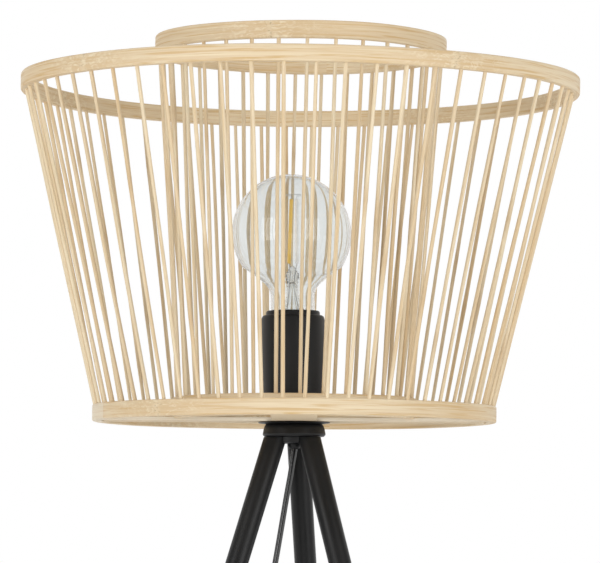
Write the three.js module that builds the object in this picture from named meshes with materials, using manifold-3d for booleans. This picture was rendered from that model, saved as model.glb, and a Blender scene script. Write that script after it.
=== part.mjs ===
// Tripod floor lamp: a double cage of bamboo rods around a globe bulb, on three screw-in steel legs.
// Millimetres, +Z up, the floor at z = 0. One leg points along +Y, the front is -Y.

import * as THREE from 'three';
import * as BufferGeometryUtils from 'three/addons/utils/BufferGeometryUtils.js';
import Module from 'manifold-3d';

const wasm = await Module();
wasm.setup();

// ---- driving dimensions ----
const totalHeight = 1350;
const gap = 0.3;                    // clearance between pieces that touch

// shade, heights above its base plane
const shadeHeight = 309;
const shadeBase = totalHeight - shadeHeight;
const rodRadius = 1.55;
const plyHeight = 2;                // the thin ply that the rods of one sector are glued into
const outerCage = {
  rods: 60, sectors: 10, phase: 2,  // phase in degrees, from -Y towards +X
  top: { radius: 225, wall: 8, low: 262.8, high: 276.1, rodCircle: 220.3 },
  bottom: { radius: 161.9, wall: 8, low: 0, high: 12.8, rodCircle: 159 },
};
const innerCage = {
  rods: 32, sectors: 8, phase: 2.35,
  top: { radius: 117.5, wall: 7, low: 295.1, high: 309, rodCircle: 114 },
  bottom: { radius: 97.4, wall: 7, low: 4.6, high: 19.3, rodCircle: 94 },
};
const crossbar = { length: 305, width: 36, low: 0.3, thickness: 4, turn: 11, bore: 5.3 };

// lampholder, heights above the shade's base plane
const nipple = { radius: 4.9, bore: 3.6, low: -16.6, high: 22 };
const boltBore = nipple.radius + gap;
const sleeve = { radius: 25, wall: 1.6, low: 4.9, high: 84.5 };
const holder = { radius: 21.65, low: 13.6, high: 90.4, cavity: 14.9, floor: 57 };

// bulb, heights above the shade's base plane
const bulb = { radius: 47.5, centre: 151, neck: 12.6, neckLow: 84.3, wall: 1, capRadius: 13.1, capLow: 60.5 };
const bulbLift = 262;               // travel that takes the bulb out through the open top

// legs
const splay = Math.atan(0.3216);    // from the vertical
const legCircle = 16.5;             // radius of the leg axes at hubLevel
const hubLevel = shadeBase - 14;
const legTop = shadeBase - 11.9;    // legs are cut off level under the head
const legRadius = 8.9;
const legBore = 7.4;
const legJoint = shadeBase / 2;     // height where upper and lower leg screw together
const footRadius = 10.4;
const footHeight = 20;

// cord, a flat twin lead
const cordRadius = 2.2;
const coil = { x: -204.5, y: 150, radius: 27.5, halfWidth: 5.6, height: 7 };
const coilSide = Math.sqrt((coil.radius + coil.halfWidth) ** 2 - coil.radius ** 2);
const switchBody = { x: coil.x - coil.radius, low: 22, length: 74, width: 30, baseHeight: 5, height: 19 };
const cordLevel = 8;                // height of the cord where it enters the switch
const reliefLength = 12;
const plug = { x: coil.x + coil.radius, width: 35, length: 34, height: 14, pinLength: 19, pinSpacing: 18.6 };

// ---- finishes ----
const finishes = {
  bamboo: { color: 0xe6cf9f, roughness: 0.55, metalness: 0 },
  plywood: { color: 0xd8c8a6, roughness: 0.7, metalness: 0 },
  blackSteel: { color: 0x18191a, roughness: 0.55, metalness: 0.2 },
  zincSteel: { color: 0xb9babc, roughness: 0.35, metalness: 0.9 },
  blackPlastic: { color: 0x121213, roughness: 0.5, metalness: 0 },
  rubber: { color: 0x161616, roughness: 0.85, metalness: 0 },
  brass: { color: 0xc9a45a, roughness: 0.3, metalness: 0.9 },
  glass: { color: 0xf4f6f6, roughness: 0.03, metalness: 0, transparent: true, opacity: 0.3 },
  filament: { color: 0xe8b04a, roughness: 0.5, metalness: 0 },
};

const lamp = new THREE.Group();

// ---- small helpers ----
function addPart(name, geometry, finish) {
  const mesh = new THREE.Mesh(geometry, new THREE.MeshStandardMaterial(finishes[finish]));
  mesh.name = name;
  lamp.add(mesh);
  return mesh;
}

// Merges shared vertices, drops collapsed triangles and turns the faces outwards.
function closed(source) {
  const geometry = source.clone();
  geometry.deleteAttribute('normal');
  geometry.deleteAttribute('uv');
  const merged = BufferGeometryUtils.mergeVertices(geometry, 1e-4);
  const index = merged.index.array;
  const position = merged.attributes.position;
  const triangles = [];
  let volume = 0;
  const corners = [new THREE.Vector3(), new THREE.Vector3(), new THREE.Vector3()];
  for (let i = 0; i < index.length; i += 3) {
    const [a, b, c] = [index[i], index[i + 1], index[i + 2]];
    if (a === b || b === c || c === a) continue;
    triangles.push(a, b, c);
    [a, b, c].forEach((vertex, k) => corners[k].fromBufferAttribute(position, vertex));
    volume += corners[0].dot(corners[1].clone().cross(corners[2]));
  }
  merged.setIndex(volume < 0 ? triangles.reverse() : triangles);
  return merged;
}

function toManifold(geometry) {
  const solid = closed(geometry);
  const vertProperties = new Float32Array(solid.attributes.position.array);
  const triVerts = new Uint32Array(solid.index.array);
  return new wasm.Manifold(new wasm.Mesh({ numProp: 3, vertProperties, triVerts }));
}

function fromManifold(manifold) {
  const mesh = manifold.getMesh();
  const geometry = new THREE.BufferGeometry();
  geometry.setAttribute('position', new THREE.BufferAttribute(mesh.vertProperties, 3));
  geometry.setIndex(new THREE.BufferAttribute(mesh.triVerts, 1));
  return geometry;
}

function join(...geometries) {
  const solids = geometries.map(toManifold);
  return fromManifold(solids.reduce((whole, next) => whole.add(next)));
}

function cut(geometry, ...tools) {
  const solid = toManifold(geometry);
  return fromManifold(tools.map(toManifold).reduce((whole, tool) => whole.subtract(tool), solid));
}

// A turned piece about the Z axis; the profile is a list of [radius, height].
function turned(profile, segments = 24) {
  const points = profile.map(([radius, height]) => new THREE.Vector2(radius, height));
  return closed(new THREE.LatheGeometry(points, segments).rotateX(Math.PI / 2));
}

function turnedRing(profile, segments = 24) {
  return turned([...profile, profile[0]], segments);
}

function washer(radius, bore, low, high, segments = 24) {
  return turnedRing([[bore, low], [radius, low], [radius, high], [bore, high]], segments);
}

// A round bar from one point to another.
function bar(start, end, radius, sides = 8, endRadius = radius) {
  const axis = end.clone().sub(start);
  const geometry = new THREE.CylinderGeometry(endRadius, radius, axis.length(), sides);
  const turn = new THREE.Quaternion().setFromUnitVectors(new THREE.Vector3(0, 1, 0), axis.normalize());
  geometry.applyQuaternion(turn);
  const middle = start.clone().add(end).multiplyScalar(0.5);
  return geometry.translate(middle.x, middle.y, middle.z);
}

function box(width, depth, height, x, y, low) {
  return new THREE.BoxGeometry(width, depth, height).translate(x, y, low + height / 2);
}

function upright(x, y, low, high, radius, sides = 24) {
  return bar(new THREE.Vector3(x, y, low), new THREE.Vector3(x, y, high), radius, sides);
}

// A point on a circle about the lamp's axis; the angle is in degrees from -Y towards +X.
function onCircle(radius, degrees, height) {
  const angle = THREE.MathUtils.degToRad(degrees);
  return new THREE.Vector3(radius * Math.sin(angle), -radius * Math.cos(angle), height);
}

// ---- shade ----
// A hoop of bent bamboo strip.
function hoop(name, ring, low, high) {
  const geometry = washer(ring.radius, ring.radius - ring.wall, low, high, 48);
  addPart(name, geometry.translate(0, 0, shadeBase), 'bamboo');
}

// One length of the thin ply under or over a hoop, between two angles.
function plyArc(ring, fromDegrees, toDegrees, low) {
  const start = THREE.MathUtils.degToRad(fromDegrees - 90);
  const end = THREE.MathUtils.degToRad(toDegrees - 90);
  const shape = new THREE.Shape();
  shape.absarc(0, 0, ring.radius, start, end, false);
  shape.absarc(0, 0, ring.radius - ring.wall, end, start, true);
  const settings = { depth: plyHeight, bevelEnabled: false, curveSegments: 4 };
  return new THREE.ExtrudeGeometry(shape, settings).translate(0, 0, low);
}

// The rods of one sector, glued into their ply at both ends.
function rodPanel(cage, sector) {
  const step = 360 / cage.rods;
  const span = 360 / cage.sectors;
  const start = cage.phase - step / 2 + sector * span;
  const clearance = THREE.MathUtils.radToDeg(gap / cage.bottom.radius);
  const topPly = shadeBase + cage.top.low;
  const bottomPly = shadeBase + cage.bottom.high - plyHeight;
  const pieces = [
    plyArc(cage.top, start, start + span - clearance, topPly),
    plyArc(cage.bottom, start, start + span - clearance, bottomPly),
  ];
  for (let k = 0; k < cage.rods / cage.sectors; k += 1) {
    const degrees = start + step * (k + 0.5);
    const low = onCircle(cage.bottom.rodCircle, degrees, bottomPly + plyHeight / 2);
    const high = onCircle(cage.top.rodCircle, degrees, topPly + plyHeight / 2);
    pieces.push(bar(low, high, rodRadius, 6));
  }
  return join(...pieces);
}

function buildCage(prefix, cage) {
  hoop(`${prefix}_top_hoop`, cage.top, cage.top.low + plyHeight + gap, cage.top.high);
  hoop(`${prefix}_bottom_hoop`, cage.bottom, cage.bottom.low, cage.bottom.high - plyHeight - gap);
  for (let sector = 0; sector < cage.sectors; sector += 1) {
    addPart(`${prefix}_rods_${sector + 1}`, rodPanel(cage, sector), 'bamboo');
  }
}

// Two flat bars, half lapped into an X, carry both cages.
function buildCrossbars() {
  const { length, width, low, thickness, turn, bore } = crossbar;
  const lap = width + 2 * gap;
  const half = thickness / 2 + gap / 2;
  const hole = upright(0, 0, low - 1, low + thickness + 1, bore, 32);
  const across = cut(box(length, width, thickness, 0, 0, low), box(lap, lap, half, 0, 0, low + thickness - half), hole);
  const along = cut(box(width, length, thickness, 0, 0, low), box(lap, lap, half, 0, 0, low), hole);
  const angle = THREE.MathUtils.degToRad(turn);
  addPart('crossbar_lower', across.rotateZ(angle).translate(0, 0, shadeBase), 'plywood');
  addPart('crossbar_upper', along.rotateZ(angle).translate(0, 0, shadeBase), 'plywood');
}

// ---- head: what clamps the shade to the legs, and the lampholder ----
function buildHead() {
  const add = (name, geometry, finish) => addPart(name, geometry.translate(0, 0, shadeBase), finish);
  add('threaded_nipple', washer(nipple.radius, nipple.bore, nipple.low, nipple.high, 24), 'zincSteel');
  add('shade_flange', washer(29, boltBore, -1.4, 0), 'blackSteel');
  add('clamp_washer', washer(16, boltBore, 4.6, 6.1), 'zincSteel');
  add('clamp_nut', cut(upright(0, 0, 6.4, 11.4, 8.7, 6), upright(0, 0, 6, 12, boltBore, 24)), 'zincSteel');
  const sleeveInside = sleeve.radius - sleeve.wall;
  const seat = 11.7;
  add('lampholder_sleeve', turnedRing([
    [sleeve.radius, sleeve.low], [sleeve.radius, sleeve.high - 2.4], [sleeve.radius - 0.7, sleeve.high - 0.7],
    [sleeve.radius - 1.6, sleeve.high], [holder.radius + gap, sleeve.high],
    [holder.radius + gap, sleeve.high - 2], [sleeveInside, sleeve.high - 3], [sleeveInside, seat + 1.6],
    [boltBore, seat + 1.6], [boltBore, seat], [sleeveInside, seat], [sleeveInside, sleeve.low],
  ]), 'blackPlastic');
  add('lampholder_body', turnedRing([
    [boltBore, holder.low], [holder.radius, holder.low], [holder.radius, holder.high - 0.8],
    [holder.radius - 0.8, holder.high], [holder.radius - 2, holder.high], [holder.radius - 2, 88.5],
    [holder.cavity, 86.5], [holder.cavity, holder.floor], [4, holder.floor], [4, holder.floor - 6],
    [17, holder.floor - 6], [17, holder.low + 4], [boltBore, holder.low + 4],
  ]), 'blackPlastic');
  add('screw_shell', washer(14.5, 13.6, holder.floor + gap, 86, 32), 'brass');
  add('centre_contact', box(11, 5, 1, 4.5, 0, holder.floor + gap), 'brass');
}

// ---- bulb ----
// Half the outline of the globe: the neck flares into the sphere; the inset gives the inner wall.
function globeOutline(inset) {
  const radius = bulb.radius - inset;
  const points = [
    [bulb.neck - inset, bulb.neckLow], [14.2 - inset, 87.5],
    [16.6 - inset, 90.5], [17.2 - inset, 97], [19.6 - inset, 104.5],
  ];
  const shoulder = 0.86;            // angle from straight down where the sphere starts, radians
  const steps = 7;
  for (let k = 0; k <= steps; k += 1) {
    const angle = shoulder + (Math.PI - shoulder) * (k / steps);
    points.push([k === steps ? 0 : radius * Math.sin(angle), bulb.centre - radius * Math.cos(angle)]);
  }
  return points;
}

function buildBulb() {
  const add = (name, geometry, finish) => addPart(name, geometry.translate(0, 0, shadeBase), finish);
  add('bulb_globe', turned([...globeOutline(bulb.wall).reverse(), ...globeOutline(0)], 24), 'glass');
  const { capRadius, capLow } = bulb;
  add('bulb_cap', turned([
    [0, capLow], [3.5, capLow], [4.6, capLow + 1.2], [4.6, capLow + 2], [9.5, capLow + 4.5],
    [11.8, capLow + 5], [capRadius, capLow + 7], [capRadius, bulb.neckLow - gap], [0, bulb.neckLow - gap],
  ], 32), 'zincSteel');
  const stemLow = bulb.neckLow + gap;
  add('bulb_stem', turned([
    [0, stemLow], [10.6, stemLow], [9, stemLow + 4], [4.6, stemLow + 12], [4, stemLow + 30],
    [3, stemLow + 40], [0, stemLow + 41],
  ], 20), 'glass');
  const stemTop = stemLow + 41 + gap;
  const at = (x, y, height) => new THREE.Vector3(x, y, height);
  add('bulb_filament', join(
    bar(at(0, 0, stemTop), at(-1, 0, stemTop + 3), 0.6, 8),
    bar(at(-1, 0, stemTop + 2.5), at(0.5, 0, stemTop + 53), 1.3, 10),
    bar(at(0.5, 0, stemTop + 52), at(3, 0, stemTop + 58), 0.5, 8),
  ), 'filament');
}

// ---- legs ----
const legDirection = new THREE.Vector3(0, Math.sin(splay), -Math.cos(splay));

// A point on the axis of the +Y leg at a given height.
function legPoint(height) {
  return new THREE.Vector3(0, legCircle + (hubLevel - height) * Math.tan(splay), height);
}

function alongLeg(height, distance) {
  return legPoint(height).addScaledVector(legDirection, distance);
}

function slab(low, high) {
  return box(900, 900, high - low, 0, 0, low);
}

function upperLegShape() {
  const tube = bar(legPoint(legTop + 10), alongLeg(legJoint, -gap / 2), legRadius, 20);
  const bore = bar(legPoint(legTop + 20), alongLeg(legJoint, 10), legBore, 20);
  return cut(tube, bore, slab(legTop, legTop + 40));
}

function lowerLegShape() {
  const floorGap = 3;
  const tube = bar(alongLeg(legJoint, gap / 2), alongLeg(0, 20), legRadius, 20);
  const bore = bar(alongLeg(legJoint, 30), alongLeg(0, 30), legBore, 20);
  const hollow = cut(tube, bore, slab(-60, floorGap));
  return join(hollow, bar(alongLeg(legJoint, -34), alongLeg(legJoint, 20), legBore - gap, 20));
}

function legInsertShape() {
  const plugEnd = cut(bar(legPoint(legTop + 8), alongLeg(legTop, 32), legBore - gap, 20), slab(legTop, legTop + 40));
  return join(plugEnd, bar(legPoint(legTop + 8), alongLeg(legTop, 20), 4, 16));
}

function footShape() {
  const body = bar(alongLeg(0, -footHeight), alongLeg(0, 12), footRadius, 24, footRadius + 1);
  const socket = cut(bar(alongLeg(0, -footHeight - 5), alongLeg(0, 20), legRadius + gap, 24), slab(-40, 3 - gap));
  return cut(body, socket, slab(-40, 0));
}

function buildLegs() {
  const shapes = {
    upper_leg: [upperLegShape(), 'blackSteel'],
    lower_leg: [lowerLegShape(), 'blackSteel'],
    leg_insert: [legInsertShape(), 'zincSteel'],
    foot_cap: [footShape(), 'rubber'],
  };
  ['back', 'left', 'right'].forEach((side, k) => {
    const turn = k * Math.PI * 2 / 3;
    Object.entries(shapes).forEach(([name, [shape, finish]]) => {
      addPart(`${name}_${side}`, shape.clone().rotateZ(turn), finish);
    });
  });
}

// The bell-shaped head has three slanting tapped holes for the legs; the core below it centres them.
function buildHub() {
  const threeLegs = (radius, sides) => [0, 1, 2].map((k) => {
    return bar(legPoint(legTop + 8.6), alongLeg(legTop, 40), radius, sides).rotateZ(k * Math.PI * 2 / 3);
  });
  const bell = turnedRing([
    [boltBore, -1.7], [22.9, -1.7], [23.7, -5], [25.1, -9.4], [25.1, -10.6], [24.4, -11.6], [boltBore, -11.6],
  ]).translate(0, 0, shadeBase);
  addPart('leg_head', cut(bell, ...threeLegs(4 + gap, 16)), 'blackSteel');
  const core = washer(15, boltBore, -16.9, -11.9).translate(0, 0, shadeBase);
  addPart('hub_core', cut(core, ...threeLegs(legRadius + gap, 24)), 'blackSteel');
  const bush = turnedRing([[3.2, -21], [4.4, -21], [5.4, -19.4], [5.4, -17.2], [3.2, -17.2]], 24);
  addPart('cord_outlet', bush.translate(0, 0, shadeBase), 'blackPlastic');
}

// ---- cord, switch and plug ----
function cordTube(points, steps) {
  const path = new THREE.CatmullRomCurve3(points.map((p) => new THREE.Vector3(...p)), false, 'centripetal');
  const sides = 8;
  const section = new THREE.Shape();
  for (let k = 0; k < sides; k += 1) {
    const angle = 2 * Math.PI * k / sides;
    const [x, y] = [cordRadius * Math.cos(angle), cordRadius * Math.sin(angle)];
    if (k === 0) section.moveTo(x, y);
    else section.lineTo(x, y);
  }
  section.closePath();
  return closed(new THREE.ExtrudeGeometry(section, { steps, bevelEnabled: false, extrudePath: path }));
}

const switchEnd = switchBody.low + switchBody.length;
const cordRoute = [
  [0, 0, 1019.7], [-0.2, 0, 1014], [-1.8, -0.4, 1007], [-5.9, -1.1, 999], [-9.6, -1.9, 980],
  [-17.3, -3.3, 930], [-33, -6.4, 832], [-50, -9.6, 725], [-68, -13.1, 612], [-87, -16.7, 495],
  [-106, -20.4, 375], [-124, -23.9, 262], [-140, -27, 165], [-150.5, -29, 105], [-157, -30, 68],
  [-163.5, -30.6, 40], [-174, -30.9, 17], [-189, -30.4, 5.2], [-205, -25.5, 2.7], [-219, -16.5, 2.6],
  [-228.5, -5, 4.6], [switchBody.x, 4, 7.4], [switchBody.x, switchBody.low - reliefLength - gap, cordLevel],
];
const tailRoute = [
  [switchBody.x, switchEnd + reliefLength + gap, cordLevel], [switchBody.x, switchEnd + 17, 7.4],
  [switchBody.x, switchEnd + 24, 5.4], [switchBody.x, coil.y - coilSide - 3.4, 3.8],
];

function stadium(length, width) {
  const radius = width / 2;
  const straight = length / 2 - radius;
  const shape = new THREE.Shape();
  shape.absarc(0, straight, radius, 0, Math.PI, false);
  shape.absarc(0, -straight, radius, Math.PI, 2 * Math.PI, false);
  return shape;
}

function stadiumBlock(length, width, low, high) {
  const settings = { depth: high - low, bevelEnabled: false, curveSegments: 8 };
  const middle = switchBody.low + switchBody.length / 2;
  return new THREE.ExtrudeGeometry(stadium(length, width), settings).translate(switchBody.x, middle, low);
}

function buildSwitch() {
  const { x, low, length, width, baseHeight, height } = switchBody;
  const middle = low + length / 2;
  const wall = 2.2;
  addPart('switch_base', stadiumBlock(length, width, 0, baseHeight), 'blackPlastic');
  const at = (y, level) => new THREE.Vector3(x, y, level);
  const reliefs = [
    bar(at(low + 3, cordLevel + 1), at(low - reliefLength, cordLevel), 3.6, 12, 2.9),
    bar(at(switchEnd - 3, cordLevel + 1), at(switchEnd + reliefLength, cordLevel), 3.6, 12, 2.9),
  ];
  const shell = join(stadiumBlock(length, width, baseHeight + gap, height), ...reliefs);
  const inside = stadiumBlock(length - 2 * wall, width - 2 * wall, baseHeight, height - wall);
  const below = box(width, length + 40, 6, x, middle, baseHeight + gap - 6);
  const hole = upright(x, middle, height - 8, height + 5, 11, 32);
  addPart('switch_cover', cut(shell, inside, below, hole), 'blackPlastic');
  const button = turned([
    [0, height - 7], [10.6, height - 7], [10.6, height + 2], [9.4, height + 3.4], [0, height + 4.4],
  ], 32);
  addPart('switch_button', button.translate(x, middle, 0), 'blackPlastic');
}

function buildPlug() {
  const { x, width, length, height, pinLength, pinSpacing } = plug;
  const tail = coil.y - coilSide - 3.6;
  const back = tail - 20;
  const front = back - length;
  const shape = new THREE.Shape([
    [-5, back], [-width / 2, back - 13], [-width / 2, front + 1.5], [-width / 2 + 1.5, front],
    [width / 2 - 1.5, front], [width / 2, front + 1.5], [width / 2, back - 13], [5, back],
  ].map(([px, py]) => new THREE.Vector2(px + x, py)));
  const settings = { depth: height - 2, bevelThickness: 1, bevelSize: 1, bevelOffset: -1, bevelSegments: 2 };
  const body = new THREE.ExtrudeGeometry(shape, settings).translate(0, 0, 1);
  const level = height / 2;
  const at = (px, py, pz) => new THREE.Vector3(px, py, pz);
  const relief = bar(at(x, back - 4, level), at(x, tail, 5), 5, 12, 2.9);
  const pocket = box(pinSpacing + 4.6, 5, 4.6, x, front + 2, level - 2.3);
  addPart('plug_body', cut(join(body, relief), pocket), 'blackPlastic');
  const pins = [-1, 1].map((side) => {
    const px = x + side * pinSpacing / 2;
    return bar(at(px, front + 3, level), at(px, front - pinLength, level), 2, 16);
  });
  const bridge = box(pinSpacing + 4, 3, 4, x, front + 2.7, level - 2);
  addPart('plug_pins', join(bridge, ...pins), 'zincSteel');
}

function buildCord() {
  addPart('cord_lead', cordTube(cordRoute, 56), 'blackPlastic');
  addPart('cord_tail', cordTube(tailRoute, 4), 'blackPlastic');
  const ring = washer(coil.radius + coil.halfWidth, coil.radius - coil.halfWidth, 0.1, coil.height, 36);
  addPart('cord_coil', ring.translate(coil.x, coil.y, 0), 'blackPlastic');
}

buildCage('outer', outerCage);
buildCage('inner', innerCage);
buildCrossbars();
buildHead();
buildBulb();
buildHub();
buildLegs();
buildCord();
buildSwitch();
buildPlug();

// The origin is the middle of the floor box of the lamp without its cord, switch and plug.
const onCord = /^(cord_(lead|tail|coil)|switch_|plug_)/;
const bounds = new THREE.Box3();
lamp.children.filter((mesh) => !onCord.test(mesh.name)).forEach((mesh) => bounds.expandByObject(mesh, true));
const middle = bounds.getCenter(new THREE.Vector3());
lamp.children.forEach((mesh) => mesh.position.set(-middle.x, -middle.y, 0));

export default lamp;
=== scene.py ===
import math
import random
import bpy
from mathutils import Matrix, Vector


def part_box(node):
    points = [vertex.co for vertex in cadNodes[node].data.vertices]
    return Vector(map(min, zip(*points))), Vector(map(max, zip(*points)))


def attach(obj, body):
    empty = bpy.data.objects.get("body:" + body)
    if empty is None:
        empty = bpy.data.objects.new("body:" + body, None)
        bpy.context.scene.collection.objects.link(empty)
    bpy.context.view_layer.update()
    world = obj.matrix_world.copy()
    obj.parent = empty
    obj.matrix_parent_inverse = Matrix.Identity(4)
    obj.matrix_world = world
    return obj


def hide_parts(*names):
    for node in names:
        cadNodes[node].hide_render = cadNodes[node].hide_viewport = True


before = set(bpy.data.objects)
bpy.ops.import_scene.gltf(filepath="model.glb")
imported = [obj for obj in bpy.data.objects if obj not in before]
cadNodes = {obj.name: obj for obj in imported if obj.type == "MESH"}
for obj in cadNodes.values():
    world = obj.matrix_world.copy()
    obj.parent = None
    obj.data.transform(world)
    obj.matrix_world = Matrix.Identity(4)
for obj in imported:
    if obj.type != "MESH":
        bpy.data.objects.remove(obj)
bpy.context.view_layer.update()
mm = 0.001
random.seed(7)

flangeLow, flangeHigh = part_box("shade_flange")
axisY = (flangeLow.y + flangeHigh.y) / 2
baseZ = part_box("outer_bottom_hoop")[0].z   # underside of the shade
print("frame loaded, shade base at", round(baseZ, 3))

cameraSet = {
    "azimuth": 11,           # degrees from the front, towards the lamp's right
    "distance": 3.2,         # from the lamp's axis
    "belowShade": 0.119,     # the lens is this far under the shade's base
    "pitch": 4.15,
    "sideStep": 0.0047,      # to the right, so that the lamp stands a little left of centre
    "lens": 239.5,
}
viewAngle = math.radians(cameraSet["azimuth"])
viewBack = Vector((math.sin(viewAngle), -math.cos(viewAngle), 0))
viewRight = Vector((math.cos(viewAngle), math.sin(viewAngle), 0))


def addCamera():
    cam = cameraSet
    spot = Vector((0, axisY, baseZ - cam["belowShade"]))
    spot += viewBack * cam["distance"]
    spot += viewRight * cam["sideStep"]
    bpy.ops.object.camera_add(location=spot, rotation=(math.radians(90 + cam["pitch"]), 0, viewAngle))
    camera = bpy.context.object
    camera.name = "mainCamera"
    camera.data.lens = cam["lens"]
    camera.data.clip_end = 60
    bpy.context.scene.camera = camera


addCamera()


def deselectAll():
    if bpy.context.object and bpy.context.object.mode != "OBJECT":
        bpy.ops.object.mode_set(mode="OBJECT")
    bpy.ops.object.select_all(action="DESELECT")


def makeActive(piece):
    deselectAll()
    piece.select_set(True)
    bpy.context.view_layer.objects.active = piece


def settlePiece(name):
    piece = bpy.context.object
    if piece.mode != "OBJECT":
        bpy.ops.object.mode_set(mode="OBJECT")
    piece.name = name
    piece.data.name = name
    bpy.ops.object.transform_apply(location=True, rotation=True, scale=True)
    return piece


def applyModifier(piece, kind, **settings):
    makeActive(piece)
    modifier = piece.modifiers.new(kind.lower(), kind)
    for key, value in settings.items():
        setattr(modifier, key, value)
    bpy.ops.object.modifier_apply(modifier=modifier.name)


def smoothPiece(piece, degrees=35):
    makeActive(piece)
    bpy.ops.object.shade_smooth_by_angle(angle=math.radians(degrees))


def easeEdges(piece, width, segments=2, degrees=35):
    applyModifier(piece, "BEVEL", width=width, segments=segments, limit_method="ANGLE",
                  angle_limit=math.radians(degrees), harden_normals=False)


def placePiece(piece, body, slot, *nodes):
    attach(piece, body)
    if nodes:
        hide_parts(*nodes)
    return piece


def finishPiece(piece, body, material, slot, *nodes):
    piece.data.materials.clear()
    piece.data.materials.append(material)
    return placePiece(piece, body, slot, *nodes)


def addObject(name, data):
    made = bpy.data.objects.new(name, data)
    bpy.context.scene.collection.objects.link(made)
    return made


def editAll(piece):
    makeActive(piece)
    bpy.ops.object.mode_set(mode="EDIT")
    bpy.ops.mesh.select_all(action="SELECT")


def endEdit():
    bpy.ops.object.mode_set(mode="OBJECT")


def selectWhere(piece, test):
    # faces chosen by their place or normal, and left selected in edit mode
    makeActive(piece)
    for elements in (piece.data.polygons, piece.data.edges, piece.data.vertices):
        for element in elements:
            element.select = False
    for face in piece.data.polygons:
        face.select = test(face)
    bpy.ops.object.mode_set(mode="EDIT")


def turnedPiece(name, profile, sides, centre, closedRing=True):
    # a ring of points is pulled up and scaled along the profile, a list of (radius, height)
    centreX, centreY = centre
    deselectAll()
    radius, height = profile[0]
    bpy.ops.mesh.primitive_circle_add(vertices=sides, radius=radius, location=(centreX, centreY, height))
    bpy.ops.object.mode_set(mode="EDIT")
    bpy.ops.mesh.select_mode(type="VERT")
    bpy.ops.mesh.select_all(action="SELECT")
    if not closedRing:
        bpy.ops.mesh.edge_face_add()
    loop = list(profile[1:])
    if closedRing:
        loop.append(profile[0])
    for nextRadius, nextHeight in loop:
        bpy.ops.mesh.extrude_region_move(TRANSFORM_OT_translate={"value": (0, 0, nextHeight - height)})
        share = nextRadius / radius
        bpy.ops.transform.resize(value=(share, share, 1), center_override=(centreX, centreY, nextHeight))
        radius, height = nextRadius, nextHeight
    bpy.ops.mesh.select_all(action="SELECT")
    bpy.ops.mesh.remove_doubles(threshold=1e-6)
    bpy.ops.mesh.normals_make_consistent(inside=False)
    piece = settlePiece(name)
    smoothPiece(piece)
    return piece


def tubeBetween(name, start, end, radius, sides):
    deselectAll()
    axis = end - start
    turn = Vector((0, 0, 1)).rotation_difference(axis.normalized()).to_euler()
    bpy.ops.mesh.primitive_cylinder_add(vertices=sides, radius=radius, depth=axis.length,
                                        location=(start + end) / 2, rotation=turn)
    return settlePiece(name)


def joinPieces(name, pieces):
    makeActive(pieces[0])
    for piece in pieces:
        piece.select_set(True)
    if len(pieces) > 1:
        bpy.ops.object.join()
    return settlePiece(name)


finishSockets = {
    "gloss": "Specular IOR Level",
    "transmission": "Transmission Weight",
    "ior": "IOR",
    "glow": "Emission Strength",
}


def newMaterial(name, color, roughness, metallic=0.0, **finish):
    material = bpy.data.materials.new(name)
    material.use_nodes = True
    shader = material.node_tree.nodes["Principled BSDF"]
    shader.inputs["Base Color"].default_value = (*color, 1)
    shader.inputs["Roughness"].default_value = roughness
    shader.inputs["Metallic"].default_value = metallic
    for key, value in finish.items():
        shader.inputs[finishSockets[key]].default_value = value
    return material, shader


def addNode(material, kind, **settings):
    made = material.node_tree.nodes.new(kind)
    for key, value in settings.items():
        if key in made.inputs:
            made.inputs[key].default_value = value
        else:
            setattr(made, key, value)
    return made


def link(material, source, target):
    material.node_tree.links.new(source, target)


def mapped(material, source, scale, offset=(0, 0, 0)):
    mapping = addNode(material, "ShaderNodeMapping")
    mapping.inputs["Scale"].default_value = scale
    mapping.inputs["Location"].default_value = offset
    link(material, source, mapping.inputs["Vector"])
    return mapping.outputs["Vector"]


def noiseOf(material, vector, scale=1.0, detail=3.0, roughness=0.55, distortion=0.0):
    noise = addNode(material, "ShaderNodeTexNoise", Scale=scale, Detail=detail, Roughness=roughness,
                    Distortion=distortion)
    link(material, vector, noise.inputs["Vector"])
    return noise.outputs["Fac"]


def rampOf(material, value, stops):
    ramp = addNode(material, "ShaderNodeValToRGB")
    elements = ramp.color_ramp.elements
    while len(elements) < len(stops):
        elements.new(0.5)
    for element, (place, color) in zip(elements, stops):
        element.position = place
        element.color = (*color, 1)
    link(material, value, ramp.inputs["Fac"])
    return ramp.outputs["Color"]


def rangeOf(material, value, low, high, toLow=0.0, toHigh=1.0):
    # clamped, so that the result stays between toLow and toHigh
    spread = addNode(material, "ShaderNodeMapRange")
    for key, number in zip(("From Min", "From Max", "To Min", "To Max"), (low, high, toLow, toHigh)):
        spread.inputs[key].default_value = number
    link(material, value, spread.inputs["Value"])
    return spread.outputs["Result"]


def mixColors(material, factor, first, second):
    # the sockets 6, 7 and 2 are the ones for colors
    mix = addNode(material, "ShaderNodeMix", data_type="RGBA")
    for socket, value in ((mix.inputs["Factor"], factor), (mix.inputs[6], first), (mix.inputs[7], second)):
        if isinstance(value, (int, float)):
            socket.default_value = value
        elif isinstance(value, tuple):
            socket.default_value = (*value, 1)
        else:
            link(material, value, socket)
    return mix.outputs[2]


def mathOf(material, operation, first, second=0.0):
    made = addNode(material, "ShaderNodeMath", operation=operation)
    for socket, value in zip(made.inputs, (first, second)):
        if isinstance(value, (int, float)):
            socket.default_value = value
        else:
            link(material, value, socket)
    return made.outputs["Value"]


def objectCoords(material):
    return addNode(material, "ShaderNodeTexCoord").outputs["Object"]


def attributeOf(material, name):
    return addNode(material, "ShaderNodeAttribute", attribute_name=name).outputs["Fac"]


def addBump(material, shader, height, strength, distance):
    bump = addNode(material, "ShaderNodeBump", Strength=strength, Distance=distance)
    link(material, height, bump.inputs["Height"])
    link(material, bump.outputs["Normal"], shader.inputs["Normal"])


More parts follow.
